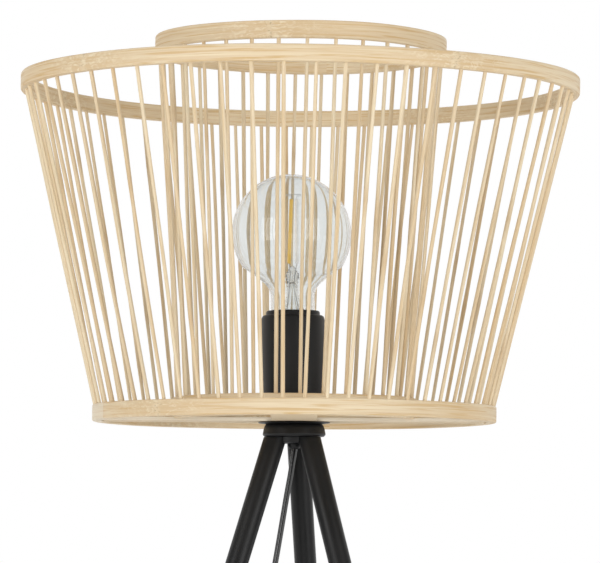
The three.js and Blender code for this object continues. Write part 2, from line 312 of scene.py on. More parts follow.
bambooLook = {
    "pale": (0.80, 0.685, 0.485),
    "straw": (0.74, 0.605, 0.41),
    "golden": (0.66, 0.485, 0.28),
    "flame": (0.60, 0.395, 0.175),
    "fibre": (0.47, 0.31, 0.15),
    "sheen": (0.90, 0.80, 0.60),
    "crest": (0.86, 0.76, 0.57),
    "speck": (0.32, 0.21, 0.11),
    "rodKnot": (0.48, 0.31, 0.15),
    "lapped": (0.78, 0.71, 0.58),
    "roughness": 0.52,
    "gloss": 0.35,
    "bump": 0.35,
    "bumpDepth": 0.4 * mm,
}
# how many spots each layer has in a metre, along the fibres and across them
bambooGrain = {
    "fibres": (9, 1500), "streaks": (4.5, 360), "flames": (17, 560), "patches": (6, 26),
    "wander": (70, 130), "ripple": (130, 300), "specks": (330, 620),
}
knotSet = {
    "wander": 6 * mm,                  # the line of a knot isn't straight
    "beside": (12 * mm, 60 * mm),      # the rippled figure fades out over this stretch
    "ridge": (1.5 * mm, 5.5 * mm),
}
lapSet = {"edge": (0.1 * mm, 0.6 * mm), "fade": (70 * mm, 90 * mm)}


def bambooMaterial(name, seed, knots=(), radius=0.2, lap=None):
    # fibres run along U of the piece's own grain map, which is in metres
    # knots are angles round a hoop, and lap is the angle where its two ends are joined
    look = bambooLook
    material, shader = newMaterial(name, look["straw"], look["roughness"], gloss=look["gloss"])
    grain = addNode(material, "ShaderNodeUVMap", uv_map="grain").outputs["UV"]

    def layer(kind, shift, **settings):
        stretched = mapped(material, grain, (*bambooGrain[kind], 1), (seed + shift, shift, seed))
        return noiseOf(material, stretched, **settings)

    def plus(first, second):
        return mathOf(material, "ADD", first, second)

    def times(first, second):
        return mathOf(material, "MULTIPLY", first, second)

    def within(value, low, high, toLow=0.0, toHigh=1.0):
        return rangeOf(material, value, low, high, toLow, toHigh)

    def blend(factor, color, second):
        return mixColors(material, factor, color, look[second])

    fibres = layer("fibres", 0, detail=4.0, roughness=0.6)
    streaks = layer("streaks", 3, detail=3.0, distortion=0.3)
    flames = layer("flames", 5, detail=3.0, roughness=0.6, distortion=0.5)
    patches = layer("patches", 9, detail=2.0)
    body = plus(times(streaks, 0.5), times(patches, 0.5))
    body = plus(body, times(attributeOf(material, "tone"), 0.2))
    color = rampOf(material, body, [(0.34, look["pale"]), (0.52, look["straw"]), (0.76, look["golden"])])
    strong = 1.0 if knots else 0.5     # the hoops are figured more strongly than the rods
    color = blend(within(flames, 0.50, 0.64, 0.0, 0.78 * strong), color, "flame")
    color = blend(within(fibres, 0.56, 0.74, 0.0, 0.38 * strong), color, "fibre")
    color = blend(within(fibres, 0.26, 0.42, 0.35, 0.0), color, "sheen")
    height = times(fibres, 0.6)
    if knots:
        split = addNode(material, "ShaderNodeSeparateXYZ")
        link(material, grain, split.inputs["Vector"])
        along = split.outputs["X"]
        wander = within(layer("wander", 2, detail=1.0), 0, 1, -knotSet["wander"], knotSet["wander"])
        place = plus(along, wander)
        away = 1.0
        for angle in knots:
            gap = mathOf(material, "SUBTRACT", place, math.radians(angle) * radius)
            away = mathOf(material, "MINIMUM", mathOf(material, "ABSOLUTE", gap), away)
        # rippled figure beside each knot, then the knot itself with a few soft dark flecks
        ripple = layer("ripple", 7, detail=2.0, distortion=1.6)
        beside = within(away, *knotSet["beside"], 1.0, 0.0)
        color = blend(times(times(beside, within(ripple, 0.46, 0.56)), 0.75), color, "golden")
        color = blend(times(times(beside, within(ripple, 0.44, 0.36)), 0.4), color, "crest")
        ridge = within(away, *knotSet["ridge"], 1.0, 0.0)
        color = blend(times(ridge, 0.3), color, "pale")
        specks = times(within(layer("specks", 4, detail=2.0, roughness=0.7), 0.54, 0.66), ridge)
        color = blend(times(specks, 0.5), color, "speck")
        height = plus(height, times(ridge, 0.5))
        if lap is not None:
            # past the lap the outer end of the strip is paler, with a fine line where it stops
            past = mathOf(material, "SUBTRACT", math.radians(lap) * radius, along)
            ending = times(within(past, 0.0, lapSet["edge"][1]), within(past, *lapSet["fade"], 1.0, 0.0))
            color = blend(times(ending, 0.5), color, "lapped")
            line = within(mathOf(material, "ABSOLUTE", past), *lapSet["edge"], 1.0, 0.0)
            color = blend(times(line, 0.35), color, "fibre")
    else:
        knot = attributeOf(material, "knot")
        color = blend(times(knot, 0.4), color, "rodKnot")
        height = plus(height, times(knot, 0.4))
    link(material, color, shader.inputs["Base Color"])
    link(material, within(streaks, 0.3, 0.7, 0.44, 0.62), shader.inputs["Roughness"])
    addBump(material, shader, height, look["bump"], look["bumpDepth"])
    return material


def paintMaterial(name, color, roughness, grainSize, bump, spread=0.08, metallic=0.0, **finish):
    # an even coat with a fine texture and slight patches of wear in its gloss
    material, shader = newMaterial(name, color, roughness, metallic, **finish)
    where = objectCoords(material)
    fine = noiseOf(material, where, scale=1 / grainSize, detail=2.0)
    broad = noiseOf(material, where, scale=14, detail=3.0)
    paler = tuple(c * 1.35 + 0.002 for c in color)
    shade = mixColors(material, rangeOf(material, broad, 0.3, 0.7), color, paler)
    link(material, shade, shader.inputs["Base Color"])
    worn = rangeOf(material, broad, 0.3, 0.7, roughness - spread, roughness + spread)
    link(material, worn, shader.inputs["Roughness"])
    addBump(material, shader, fine, bump, 0.2 * mm)
    return material


def barMaterial(name, pale, mid, dark):
    # plain wood whose grain runs along the bars
    material, shader = newMaterial(name, mid, 0.7)
    turned = addNode(material, "ShaderNodeMapping")
    turned.inputs["Rotation"].default_value = (0, 0, -viewAngle)
    link(material, objectCoords(material), turned.inputs["Vector"])
    stretched = mapped(material, turned.outputs["Vector"], (14, 420, 900))
    grain = noiseOf(material, stretched, detail=4.0, roughness=0.6)
    color = rampOf(material, grain, [(0.25, pale), (0.55, mid), (0.85, dark)])
    link(material, color, shader.inputs["Base Color"])
    addBump(material, shader, grain, 0.25, 0.3 * mm)
    return material


def glassMaterial(name, tint, rim=None):
    # clear glass that ripples slightly; where a rim color is given, its edge is painted darker, a painted
    # shade for the dim room seen in the glass at grazing angles
    material, shader = newMaterial(name, tint, 0.0, transmission=1.0, ior=1.48)
    wave = noiseOf(material, objectCoords(material), scale=28, detail=1.0)
    addBump(material, shader, wave, 0.06, 1.5 * mm)
    if rim:
        # painted shade: the glass colour turns to the rim color towards the silhouette
        facing = addNode(material, "ShaderNodeLayerWeight", Blend=0.5).outputs["Facing"]
        shadedEdgeColor = mixColors(material, rangeOf(material, facing, 0.80, 0.97), tint, rim)
        link(material, shadedEdgeColor, shader.inputs["Base Color"])
    return material


def filamentMaterial():
    # the glow is painted light: the unlit filament is brightened to stand in for light that reaches it
    # through the glass
    material, shader = newMaterial("filamentPhosphor", (0.86, 0.55, 0.10), 0.55, glow=0.36)
    speck = noiseOf(material, objectCoords(material), scale=2600, detail=2.0)
    color = rampOf(material, speck, [(0.3, (0.92, 0.60, 0.10)), (0.7, (1.0, 0.76, 0.26))])
    link(material, color, shader.inputs["Base Color"])
    shader.inputs["Emission Color"].default_value = (0.95, 0.55, 0.10, 1)
    return material


hoopBamboo = {
    "OuterTop": bambooMaterial("bambooOuterTop", 2.0, (-105, -37, 43, 118, 160), 0.225),
    "OuterBottom": bambooMaterial("bambooOuterBottom", 5.3, (-128, -30, 112), 0.162, lap=-57),
    "InnerTop": bambooMaterial("bambooInnerTop", 8.1, (-1, 140), 0.1175),
    "InnerBottom": bambooMaterial("bambooInnerBottom", 11.7, (-150, 75), 0.0974),
}
rodBamboo = bambooMaterial("bambooRods", 4.4)
plywood = barMaterial("crossbarEdge", (0.80, 0.73, 0.60), (0.72, 0.63, 0.49), (0.56, 0.46, 0.32))
barFace = barMaterial("crossbarFace", (0.74, 0.60, 0.40), (0.64, 0.50, 0.32), (0.50, 0.37, 0.21))
blackPaint = paintMaterial("blackPowderCoat", (0.0062, 0.0063, 0.0065), 0.43, 0.0011, 0.18, gloss=0.27)
blackMoulded = paintMaterial("blackMouldedPlastic", (0.0075, 0.0075, 0.0078), 0.42, 0.0006, 0.1, gloss=0.3)
rubberFoot = paintMaterial("footRubber", (0.014, 0.014, 0.014), 0.78, 0.0008, 0.3)
cordVinyl = paintMaterial("cordVinyl", (0.012, 0.012, 0.012), 0.15, 0.003, 0.03, gloss=1.0)
platedSteel = paintMaterial("platedSteel", (0.56, 0.56, 0.57), 0.3, 0.0009, 0.05, metallic=1.0)
plainBrass = paintMaterial("plainBrass", (0.68, 0.50, 0.22), 0.32, 0.0009, 0.05, metallic=1.0)
insulator = paintMaterial("capInsulator", (0.02, 0.018, 0.02), 0.2, 0.002, 0.03)
bulbGlass = glassMaterial("bulbGlass", (0.89, 0.905, 0.90), rim=(0.66, 0.69, 0.68))
stemGlass = glassMaterial("stemGlass", (0.97, 0.98, 0.98))
phosphor = filamentMaterial()
# its glow is painted light, standing in for the light that reaches the back of the filament through the glass
ceramic = paintMaterial("filamentBack", (0.92, 0.92, 0.90), 0.5, 0.0008, 0.05, glow=0.3)
print("materials ready")

cordSet = {
    "width": 5.2 * mm, "thickness": 3.0 * mm, "sides": 6, "wrap": 150,
    "leadStep": 5 * mm, "tailStep": 4 * mm, "easing": 4, "turn": 0.7,
}
# in turns from the start: the cord steps inwards, then up to a second layer, then outwards again
coilSet = {
    "outer": 30.2 * mm, "inner": 24.8 * mm, "layer": 3.2 * mm, "turns": 3.5, "perTurn": 18,
    "stepIn": 0.9, "stepUp": 1.9, "stepOut": 2.9, "stepLength": 0.2,
}


def fromAxis(x, y, z):
    # a point given in millimetres from the lamp's axis on the floor
    return Vector((x * mm, y * mm + axisY, z * mm))


def cordSection():
    # two round cores side by side, as points (across, up)
    points = []
    core = cordSet["thickness"] / 2
    shift = cordSet["width"] / 2 - core
    for side in (1, -1):
        for k in range(cordSet["sides"]):
            share = k / (cordSet["sides"] - 1) - 0.5
            angle = math.radians(cordSet["wrap"] * share) + (0 if side > 0 else math.pi)
            points.append((side * shift + core * math.cos(angle), core * math.sin(angle)))
    return points


def smoothRoute(points, step):
    # evenly spaced points on one smooth curve through the given ones
    ends = [points[0] * 2 - points[1]] + points + [points[-1] * 2 - points[-2]]
    fine = []
    for a, b, c, d in zip(ends, ends[1:], ends[2:], ends[3:]):
        count = max(2, round((c - b).length / (step / 4)))
        for k in range(count):
            t = k / count
            fine.append(0.5 * (2 * b + (c - a) * t + (2 * a - 5 * b + 4 * c - d) * t * t
                               + (3 * b - a - 3 * c + d) * t ** 3))
    fine.append(points[-1])
    route = [fine[0]]
    run = 0.0
    for before, after in zip(fine, fine[1:]):
        run += (after - before).length
        if run >= step:
            route.append(after)
            run = 0.0
    route.append(fine[-1])
    return route


def easedRoute(route, passes):
    # small kinks are evened out, and the ends stay where they are
    for _ in range(passes):
        middle = [(a + 2 * b + c) / 4 for a, b, c in zip(route, route[1:], route[2:])]
        route = [route[0]] + middle + [route[-1]]
    return route


def sweepCord(name, route, acrossStart):
    # the section follows the route, lying flat wherever the route isn't steep
    section = cordSection()
    vertices = []
    faces = []
    across = acrossStart
    for i, point in enumerate(route):
        ahead = (route[min(i + 1, len(route) - 1)] - route[max(i - 1, 0)]).normalized()
        flat = Vector((ahead.y, -ahead.x, 0))
        if flat.length > 0.35:
            flat = flat.normalized() if across.dot(flat) >= 0 else -flat.normalized()
            across = across.lerp(flat, 0.35)
        across = (across - ahead * across.dot(ahead)).normalized()
        up = across.cross(ahead).normalized()
        vertices += [point + across * x + up * y for x, y in section]
    count = len(section)
    for i in range(len(route) - 1):
        for k in range(count):
            a, b = i * count + k, i * count + (k + 1) % count
            faces.append((a, b, b + count, a + count))
    faces.append(tuple(range(count))[::-1])
    faces.append(tuple(range((len(route) - 1) * count, len(route) * count)))
    mesh = bpy.data.meshes.new(name)
    mesh.from_pydata([tuple(v) for v in vertices], [], faces)
    piece = addObject(name, mesh)
    editAll(piece)
    bpy.ops.mesh.normals_make_consistent(inside=False)
    endEdit()
    smoothPiece(piece, 50)
    return piece


def routeLength(route):
    return sum((b - a).length for a, b in zip(route, route[1:]))


leadPoints = [
    (0.5, 0.1, 1019.7), (-0.4, -0.1, 1014), (-1.6, -0.3, 1007), (-2.8, -0.6, 999), (-6.2, -1.2, 980),
    (-14.6, -2.8, 930), (-32.1, -6.2, 832), (-49.7, -9.6, 725), (-68, -13.1, 612), (-87, -16.7, 495),
    (-106, -20.4, 375), (-124, -23.9, 262), (-140, -27, 165), (-150.5, -29, 105), (-157, -30, 68),
    (-163.5, -30.6, 40), (-174, -30.9, 17), (-189, -30.4, 5.2), (-205, -25.5, 2.7), (-219, -16.5, 2.6),
    (-228.5, -5, 4.6), (-232, 4, 7.4), (-232, 9.7, 8),
]
coilLow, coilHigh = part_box("cord_coil")
coilCentre = (coilLow + coilHigh) / 2
switchLow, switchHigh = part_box("switch_cover")
switchMiddle = (switchLow + switchHigh) / 2
plugLow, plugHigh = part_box("plug_body")
plugMiddle = (plugLow + plugHigh) / 2
coilLevel = cordSet["thickness"] / 2 + 0.2 * mm
cordEntry = 8 * mm      # the cord's height where it goes into the switch
plugEntry = 5.2 * mm


def stepDone(turn, start):
    return min(max((turn - start) / coilSet["stepLength"], 0.0), 1.0)


def coilPoint(turn):
    inset = stepDone(turn, coilSet["stepIn"]) - stepDone(turn, coilSet["stepOut"])
    radius = coilSet["outer"] + (coilSet["inner"] - coilSet["outer"]) * inset
    height = coilSet["layer"] * stepDone(turn, coilSet["stepUp"])
    angle = math.pi - 2 * math.pi * turn
    return Vector((coilCentre.x + radius * math.cos(angle), coilCentre.y + radius * math.sin(angle),
                   coilLevel + height))


def tailPoints():
    x = switchMiddle.x
    points = [Vector((x, switchHigh.y - 2 * mm, cordEntry)),
              Vector((x, switchHigh.y + 5 * mm, 7.4 * mm)),
              Vector((x, switchHigh.y + 13 * mm, 5.4 * mm)),
              Vector((x - 1 * mm, coilLow.y + 13 * mm, 2.6 * mm))]
    total = round(coilSet["turns"] * coilSet["perTurn"])
    points += [coilPoint(k / coilSet["perTurn"]) for k in range(2, total)]
    right = coilCentre.x + coilSet["outer"]
    points.append(Vector((right - 0.5 * mm, coilCentre.y - 8 * mm, coilLevel + coilSet["layer"])))
    points.append(Vector((plugMiddle.x + 0.6 * mm, plugHigh.y + 5 * mm, 5.1 * mm)))
    points.append(Vector((plugMiddle.x, plugHigh.y - 2 * mm, plugEntry)))
    return points


leadRoute = smoothRoute([fromAxis(*p) for p in leadPoints], cordSet["leadStep"])
tailRoute = easedRoute(smoothRoute(tailPoints(), cordSet["tailStep"]), cordSet["easing"])
leadTurn = viewAngle + cordSet["turn"]
cordLead = sweepCord("cordLead", leadRoute, Vector((math.cos(leadTurn), math.sin(leadTurn), 0)))
finishPiece(cordLead, "stand", cordVinyl, "cord_cover", "cord_lead")
cordTail = sweepCord("cordTail", tailRoute, Vector((1, 0, 0)))
finishPiece(cordTail, "stand", cordVinyl, "cord_cover", "cord_tail", "cord_coil")


def roundedBlock(name, low, high, corner, segments, ease=0.0):
    # an upright block whose plan corners are rounded
    deselectAll()
    size = high - low
    bpy.ops.mesh.primitive_cube_add(size=1, location=(low + high) / 2, scale=size)
    piece = settlePiece(name)
    editAll(piece)
    bpy.ops.mesh.select_mode(type="EDGE")
    bpy.ops.mesh.select_all(action="DESELECT")
    endEdit()
    for edge in piece.data.edges:
        a, b = (piece.data.vertices[v].co for v in edge.vertices)
        edge.select = abs(a.z - b.z) > size.z / 2
    bpy.ops.object.mode_set(mode="EDIT")
    bpy.ops.mesh.bevel(offset=corner, segments=segments)
    endEdit()
    if ease:
        easeEdges(piece, ease, 3, 60)
    return piece


switchSet = {
    "corner": 14.6 * mm, "ease": 3.0 * mm, "baseEase": 0.8 * mm, "wellFloor": 9 * mm, "wellTop": 30 * mm,
    "buttonGap": 0.4 * mm, "wellEase": 0.35 * mm, "ribs": 5, "sleeveRadius": 2.9 * mm,
    "thin": 0.86, "thick": 1.21,     # each rib's growth from the ring before it
}


def cutAway(piece, cutter):
    applyModifier(piece, "BOOLEAN", operation="DIFFERENCE", object=cutter, solver="EXACT")
    bpy.data.objects.remove(cutter)


def buildSwitch():
    baseLow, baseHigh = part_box("switch_base")
    corner = switchSet["corner"]
    base = roundedBlock("switchBase", baseLow, baseHigh, corner, 12, switchSet["baseEase"])
    smoothPiece(base)
    finishPiece(base, "stand", blackMoulded, "black_plastic", "switch_base")
    coverLow = Vector((baseLow.x, baseLow.y, switchLow.z))
    coverHigh = Vector((baseHigh.x, baseHigh.y, switchHigh.z))
    cover = roundedBlock("switchCover", coverLow, coverHigh, corner, 12)
    selectWhere(cover, lambda face: face.normal.z > 0.9)
    bpy.ops.mesh.bevel(offset=switchSet["ease"], segments=5, affect="EDGES")
    endEdit()
    buttonLow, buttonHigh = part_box("switch_button")
    radius = (buttonHigh.x - buttonLow.x) / 2
    middle = (buttonLow + buttonHigh) / 2
    wellFloor = Vector((middle.x, middle.y, switchSet["wellFloor"]))
    wellTop = Vector((middle.x, middle.y, switchSet["wellTop"]))
    cutAway(cover, tubeBetween("buttonWell", wellFloor, wellTop, radius + switchSet["buttonGap"], 64))
    easeEdges(cover, switchSet["wellEase"], 2, 50)
    sleeves = [sleeveAt(switchLow.y, baseLow.y, 1), sleeveAt(switchHigh.y, baseHigh.y, -1)]
    cover = joinPieces("switchCover", [cover] + sleeves)
    smoothPiece(cover, 40)
    finishPiece(cover, "stand", blackMoulded, "black_plastic", "switch_cover")
    # inwards from the rim and down from the top, in mm: a dished ring round a slight dome
    dish = [(0, 2.6), (0.5, 1.6), (1.6, 0.9), (2.4, 0.9), (2.9, 1.3), (4.4, 1.1)]
    profile = [(radius, buttonLow.z)]
    profile += [(radius - inward * mm, buttonHigh.z - down * mm) for inward, down in dish]
    profile += [(4 * mm, buttonHigh.z - 0.2 * mm), (0.05 * mm, buttonHigh.z)]
    button = turnedPiece("switchButton", profile, 64, (middle.x, middle.y), closedRing=False)
    finishPiece(button, "foot_button", blackMoulded, "black_plastic", "switch_button")
    return [base, cover, button]


def sleeveAt(outerY, innerY, side):
    # a ribbed, tapering sleeve where the cord enters
    x = switchMiddle.x
    deselectAll()
    bpy.ops.mesh.primitive_cylinder_add(vertices=32, radius=switchSet["sleeveRadius"], depth=0.8 * mm,
                                        location=(x, outerY + side * 0.4 * mm, cordEntry),
                                        rotation=(math.radians(90), 0, 0))
    sleeve = settlePiece("cordSleeve")
    selectWhere(sleeve, lambda face: face.normal.y * side > 0.9)
    ribs = switchSet["ribs"]
    rib = abs(innerY - outerY) / (2 * ribs)
    for k in range(2 * ribs):
        grow = switchSet["thin"] if k % 2 == 0 else switchSet["thick"]
        bpy.ops.mesh.extrude_region_move(TRANSFORM_OT_translate={"value": (0, side * 0.05 * mm, 0)})
        bpy.ops.transform.resize(value=(grow, 1, grow), center_override=(x, outerY, cordEntry))
        bpy.ops.mesh.extrude_region_move(TRANSFORM_OT_translate={"value": (0, side * (rib + 0.2 * mm), 0)})
    endEdit()
    return sleeve


plugSet = {
    "sleeve": 20 * mm, "taper": 13 * mm, "neck": 5 * mm, "neckHeight": 0.75, "ease": 2.6 * mm,
    "rings": 7, "ringWidth": 0.62, "ringRadius": (5.0 * mm, 3.0 * mm), "coreRadius": 2.9 * mm,
    "pinRadius": 2.0 * mm, "pinSpacing": 18.6 * mm, "pinCover": 9.5 * mm,
}


def buildPlugBody():
    # a block that tapers towards the cord, with a ribbed sleeve behind it
    plug = plugSet
    x = plugMiddle.x
    back = plugHigh.y - plug["sleeve"]
    high = Vector((plugHigh.x, back, plugHigh.z))
    deselectAll()
    bpy.ops.mesh.primitive_cube_add(size=1, location=(plugLow + high) / 2, scale=high - plugLow)
    body = settlePiece("plugBody")
    editAll(body)
    bpy.ops.mesh.bisect(plane_co=(0, back - plug["taper"], 0), plane_no=(0, 1, 0))
    selectWhere(body, lambda face: face.normal.y > 0.9)
    narrow = plug["neck"] * 2 / (high.x - plugLow.x)
    bpy.ops.transform.resize(value=(narrow, 1, plug["neckHeight"]),
                             center_override=(x, back, (plugLow.z + high.z) / 2))
    endEdit()
    easeEdges(body, plug["ease"], 4, 25)
    start = Vector((x, back - 3 * mm, 7 * mm))
    end = Vector((x, plugHigh.y, plugEntry))
    rings = []
    widest, narrowest = plug["ringRadius"]
    for k in range(plug["rings"]):
        a = start.lerp(end, k / plug["rings"])
        b = start.lerp(end, (k + plug["ringWidth"]) / plug["rings"])
        radius = widest - (widest - narrowest) * k / plug["rings"]
        rings.append(tubeBetween("plugRing", a, b, radius, 28))
        easeEdges(rings[-1], 0.35 * mm, 2)
    core = tubeBetween("plugCore", start, end, plug["coreRadius"], 28)
    body = joinPieces("plugBody", [body, core] + rings)
    smoothPiece(body, 40)
    return finishPiece(body, "stand", blackMoulded, "black_plastic", "plug_body")


def buildPlugPins():
    # each pin has a black cover for the half nearer the plug
    pinLow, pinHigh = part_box("plug_pins")
    level = (pinLow.z + pinHigh.z) / 2
    radius = plugSet["pinRadius"]
    pins = []
    for side in (-1, 1):
        x = plugMiddle.x + side * plugSet["pinSpacing"] / 2
        root = Vector((x, plugLow.y + 2 * mm, level))
        coverEnd = Vector((x, plugLow.y - plugSet["pinCover"], level))
        cover = tubeBetween("pinSleeve", root, coverEnd, radius - 0.1 * mm, 28)
        cover.data.materials.append(blackMoulded)
        tip = tubeBetween("pinTip", coverEnd, Vector((x, pinLow.y, level)), radius, 28)
        easeEdges(tip, 0.9 * mm, 4)
        tip.data.materials.append(platedSteel)
        pins += [cover, tip]
    pins = joinPieces("plugPins", pins)
    smoothPiece(pins, 40)
    return placePiece(pins, "stand", "plated_steel", "plug_pins")


tieSet = {"radius": 6.4 * mm, "wire": 0.7 * mm, "height": 3.4 * mm, "stretch": (2.6, 1.0, 0.54)}


def buildTie():
    # a soft wire tie holds the turns together
    spot = coilCentre + Vector((0, (coilSet["outer"] + coilSet["inner"]) / 2, 0))
    spot.z = tieSet["height"]
    deselectAll()
    bpy.ops.mesh.primitive_torus_add(location=spot, rotation=(0, math.radians(90), 0),
                                     major_radius=tieSet["radius"], minor_radius=tieSet["wire"],
                                     major_segments=40, minor_segments=8)
    bpy.ops.transform.resize(value=tieSet["stretch"], center_override=spot)
    tie = settlePiece("cordTie")
    smoothPiece(tie, 60)
    return finishPiece(tie, "stand", blackMoulded, "black_plastic")


switchPieces = buildSwitch()
plugPieces = [buildPlugBody(), buildPlugPins()]
tie = buildTie()
print("cord lengths", round(routeLength(leadRoute), 3), round(routeLength(tailRoute), 3))

handmade = {
    "lean": 0.0165, "innerLean": 0.019,       # metres to the side for each metre up
    "tiltLow": 0.0054, "tiltHigh": 0.0100,    # the slope of the lowest and highest ring
    "tiltHeight": 0.269, "tiltLimit": 1.2, "saddle": 0.024,
    "bow": 0.9 * mm, "thickness": (0.93, 1.07), "tone": (-0.4, 0.75), "slip": 0.22, "knotSwell": 1.13,
    "cane": (0.731, 0.0137),                  # each rod comes from another place of the same grain
}


def settleShade(piece, lean):
    # the hand-bent cage leans a little and its rings aren't quite level
    axis = Vector((0, axisY, baseZ))
    for vertex in piece.data.vertices:
        place = vertex.co - axis
        side = place.dot(viewRight)
        share = min(max(place.z / handmade["tiltHeight"], 0), handmade["tiltLimit"])
        tilt = handmade["tiltLow"] + (handmade["tiltHigh"] - handmade["tiltLow"]) * share
        lift = handmade["saddle"] * share * side * side - tilt * side
        vertex.co += viewRight * lean * place.z + Vector((0, 0, lift))


def nearAngle(angle, centreAngle):
    # counted on past the seam when the middle of the face is on the seam's other side
    if angle - centreAngle > math.pi:
        return angle - 2 * math.pi
    if centreAngle - angle > math.pi:
        return angle + 2 * math.pi
    return angle


def roundAngle(place):
    # from the front, towards the right
    return math.atan2(place.x, -(place.y - axisY))


def grainMap(piece, radius):
    # U runs round the hoop and V across its faces, both in metres
    uv = piece.data.uv_layers.new(name="grain")
    for face in piece.data.polygons:
        centreAngle = roundAngle(face.center)
        for corner in face.loop_indices:
            place = piece.data.vertices[piece.data.loops[corner].vertex_index].co
            angle = nearAngle(roundAngle(place), centreAngle)
            inward = radius - math.hypot(place.x, place.y - axisY)
            height = place.z - baseZ
            if abs(face.normal.z) < 0.7 and inward > 4 * mm:
                height = -height
            uv.data[corner].uv = (angle * radius, height + inward * 1.7)


hoopSet = {
    "OuterTop": {"node": "outer_top_hoop", "rods": "outer_rods_1", "wall": 8 * mm,
                 "ease": 1.6 * mm, "wave": 0.5 * mm, "phase": 0.6},
    "OuterBottom": {"node": "outer_bottom_hoop", "rods": "outer_rods_1", "wall": 8 * mm,
                    "ease": 1.1 * mm, "wave": 0.25 * mm, "phase": 2.1},
    "InnerTop": {"node": "inner_top_hoop", "rods": "inner_rods_1", "wall": 7 * mm,
                 "ease": 1.3 * mm, "wave": 0.35 * mm, "phase": 3.9},
    "InnerBottom": {"node": "inner_bottom_hoop", "rods": "inner_rods_1", "wall": 7 * mm,
                    "ease": 1.0 * mm, "wave": 0.2 * mm, "phase": 5.0},
}
rodSink = 2 * mm     # the rods' ends go this far into the hoops
barSet = {"thinner": 1.1 * mm, "notch": 1.3 * mm}   # the inner hoop is notched over the bars


def buildHoop(label):
    hoop = hoopSet[label]
    low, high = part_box(hoop["node"])
    rodLow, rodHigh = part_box(hoop["rods"])
    radius = (high.x - low.x) / 2
    bottom = rodHigh.z - rodSink if label.endswith("Top") else low.z
    top = high.z if label.endswith("Top") else rodLow.z + rodSink
    if label == "InnerBottom":
        bottom -= barSet["thinner"] + barSet["notch"]
    deselectAll()
    bpy.ops.mesh.primitive_cylinder_add(vertices=240, radius=radius, depth=top - bottom,
                                        end_fill_type="NOTHING", location=(0, axisY, (top + bottom) / 2))
    piece = settlePiece("hoop" + label)
    applyModifier(piece, "SOLIDIFY", thickness=hoop["wall"], offset=-1, use_even_offset=True)
    easeEdges(piece, hoop["ease"], 3)
    grainMap(piece, radius)
    phase = hoop["phase"]
    for vertex in piece.data.vertices:
        out = Vector((vertex.co.x, vertex.co.y - axisY, 0))
        angle = math.atan2(out.y, out.x)
        swell = math.sin(3 * angle + phase) + 0.6 * math.sin(7 * angle + 2 * phase)
        vertex.co += out.normalized() * hoop["wave"] * swell
        vertex.co.z += 0.5 * hoop["wave"] * math.sin(4 * angle + 3 * phase)
    tone = piece.data.attributes.new("tone", "FLOAT", "POINT")
    for vertex, value in zip(piece.data.vertices, tone.data):
        value.value = 0.18 + 0.3 * math.sin(2 * roundAngle(vertex.co) + phase) ** 2
    settleShade(piece, handmade["lean"] if label.startswith("Outer") else handmade["innerLean"])
    smoothPiece(piece, 40)
    return finishPiece(piece, "stand", hoopBamboo[label], "bamboo", hoop["node"])


# low and high are the circles that the rods' ends stand on, at the heights bottom and top
rodSet = {
    "outer": {"count": 60, "phase": 2.0, "radius": 1.55 * mm, "low": 159 * mm, "high": 220.3 * mm,
              "bottom": 10.5 * mm, "top": 265.5 * mm, "drift": 2.2, "dip": 0.8},
    "inner": {"count": 32, "phase": 2.35, "radius": 1.55 * mm, "low": 94 * mm, "high": 114 * mm,
              "bottom": 17.5 * mm, "top": 297.5 * mm, "drift": 0.0, "dip": 0.0},
}
rodCuts = 12


def rodTemplate(radius, length):
    # one straight upright rod from the origin, cut across so that it can bow and swell at a knot
    deselectAll()
    bpy.ops.mesh.primitive_cylinder_add(vertices=10, radius=radius, depth=length, location=(0, 0, length / 2))
    stick = settlePiece("stick")
    editAll(stick)
    for k in range(1, rodCuts):
        bpy.ops.mesh.select_all(action="SELECT")
        bpy.ops.mesh.bisect(plane_co=(0, 0, length * k / rodCuts), plane_no=(0, 0, 1))
    endEdit()
    uv = stick.data.uv_layers.new(name="grain")
    for face in stick.data.polygons:
        centreAngle = math.atan2(face.center.y, face.center.x)
        for corner in face.loop_indices:
            place = stick.data.vertices[stick.data.loops[corner].vertex_index].co
            angle = nearAngle(math.atan2(place.y, place.x), centreAngle)
            uv.data[corner].uv = (place.z, angle * radius)
    stick.data.attributes.new("tone", "FLOAT", "POINT")
    stick.data.attributes.new("knot", "FLOAT", "POINT")
    smoothPiece(stick, 40)
    return stick


def rodEnds(cage, k):
    settings = rodSet[cage]
    step = 360 / settings["count"]
    degrees = settings["phase"] + step * k
    # the upper holes are a little wider apart at the front than at the back, so the rods fan out
    aside = math.sin(math.radians(degrees) - viewAngle)
    fan = settings["drift"] * aside - settings["dip"] * aside * aside
    ends = []
    for circle, height, shift in (("low", "bottom", 0), ("high", "top", fan)):
        slip = random.uniform(-handmade["slip"], handmade["slip"])
        angle = math.radians(degrees + shift + slip)
        reach = settings[circle]
        ends.append(Vector((reach * math.sin(angle), axisY - reach * math.cos(angle),
                            baseZ + settings[height])))
    return ends


